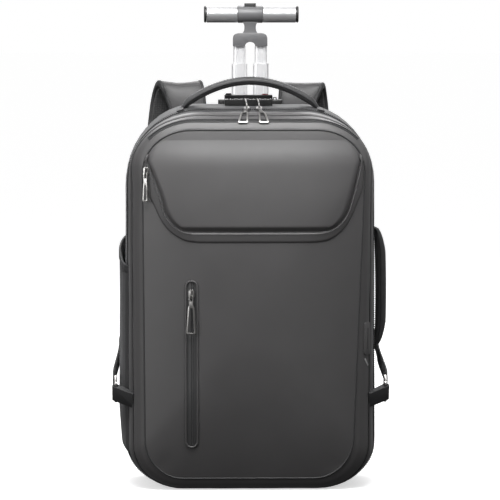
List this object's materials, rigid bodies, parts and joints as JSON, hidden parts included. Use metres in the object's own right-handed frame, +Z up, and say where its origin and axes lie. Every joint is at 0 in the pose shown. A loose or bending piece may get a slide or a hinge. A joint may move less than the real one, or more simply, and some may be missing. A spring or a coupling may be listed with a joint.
{
  "type": "wheeled backpack",
  "caption": "Wheeled backpack in coated cloth with a drawn-out trolley handle, front pockets, a side bottle pocket, padded straps and a zip lock on top.",
  "frame": {"origin": "on the ground, on the flat bottom of the rear gusset, under the middle of the bag's width", "axes": "+X to the viewer's right as one faces the bag's front, -Y out of the front, +Z up"},
  "size_m": [0.3586, 0.2425, 0.6245],
  "materials": {
    "coated_cloth": "satin",
    "woven_cloth": "matte",
    "mesh_cloth": "matte",
    "zip_tape": "matte",
    "nickel": "polished",
    "aluminium": "satin",
    "grey_plastic": "satin",
    "black_plastic": "satin",
    "red_plastic": "gloss",
    "wheel_rubber": "matte"
  },
  "bodies": {
    "bag": {"front_panel": "coated_cloth", "front_gusset": "woven_cloth", "main_gusset_front": "woven_cloth", "main_zip": "zip_tape", "upper_pocket_panel": "coated_cloth", "upper_pocket_lip": "coated_cloth", "front_zip_bezel": "coated_cloth", "front_zip_tape": "zip_tape", "main_gusset_rear": "woven_cloth", "back_panel": "mesh_cloth", "wheel_base": "black_plastic", "axle_left": "nickel", "axle_right": "nickel", "top_handle": "coated_cloth", "side_handle": "coated_cloth", "side_pocket": "woven_cloth", "side_pocket_binding": "zip_tape", "handle_tab_left": "zip_tape", "handle_tab_right": "zip_tape", "shoulder_strap_left": "coated_cloth", "shoulder_strap_right": "coated_cloth", "side_ring_left": "nickel", "side_ring_right": "nickel", "ring_tab_left": "zip_tape", "ring_tab_right": "zip_tape", "strap_webbing_left": "zip_tape", "strap_webbing_right": "zip_tape", "front_zip_slider": "nickel", "upper_zip_slider": "nickel", "main_zip_left_slider": "nickel", "main_zip_left_pull": "nickel", "main_zip_right_slider": "nickel", "main_zip_right_pull": "nickel", "lock_base": "black_plastic", "lock_trim": "nickel", "lock_cover": "black_plastic", "lock_knob": "black_plastic", "lock_cap": "red_plastic", "lock_loop": "nickel", "fixed_tube_left": "aluminium", "fixed_tube_right": "aluminium", "trolley_bezel": "black_plastic", "port_flap": "coated_cloth", "port_tag": "nickel"},
    "trolley_middle": {"mid_tube_left": "aluminium", "mid_tube_right": "aluminium"},
    "trolley_top": {"inner_tube_left": "aluminium", "inner_tube_right": "aluminium", "trolley_yoke": "grey_plastic", "grip_hub": "grey_plastic", "grip_bar_left": "aluminium", "grip_cap_left": "black_plastic", "grip_bar_right": "aluminium", "grip_cap_right": "black_plastic"},
    "button": {"push_button": "black_plastic"},
    "left_wheel": {"wheel_left": "wheel_rubber"},
    "right_wheel": {"wheel_right": "wheel_rubber"},
    "front_pull": {"front_zip_pull": "nickel"},
    "upper_pull": {"upper_zip_pull": "nickel"}
  },
  "joints": [
    {"name": "trolley_lower_slide", "type": "slide", "parent": "bag", "child": "trolley_middle", "axis": [0, 0, 1], "range_m": [-0.046, 0.202]},
    {"name": "trolley_upper_slide", "type": "slide", "parent": "trolley_middle", "child": "trolley_top", "axis": [0, 0, 1], "range_m": [-0.022, 0.228]},
    {"name": "button_press", "type": "slide", "parent": "trolley_top", "child": "button", "axis": [0, 0, -1], "range_m": [0, 0.0026], "stiffness_N_per_m": 600},
    {"name": "left_wheel_spin", "type": "hinge", "parent": "bag", "child": "left_wheel", "pos_m": [-0.112, 0.08401, 0.03], "axis": [1, 0, 0], "continuous": true},
    {"name": "right_wheel_spin", "type": "hinge", "parent": "bag", "child": "right_wheel", "pos_m": [0.112, 0.08401, 0.03], "axis": [1, 0, 0], "continuous": true},
    {"name": "front_pull_swing", "type": "hinge", "parent": "bag", "child": "front_pull", "pos_m": [-0.07766, -0.10284, 0.253], "axis": [-0.9851, 0.1718, 0], "range_deg": [0, 140]},
    {"name": "upper_pull_swing", "type": "hinge", "parent": "bag", "child": "upper_pull", "pos_m": [-0.13575, -0.08747, 0.409], "axis": [-0.9455, 0.3257, 0], "range_deg": [0, 140]}
  ]
}
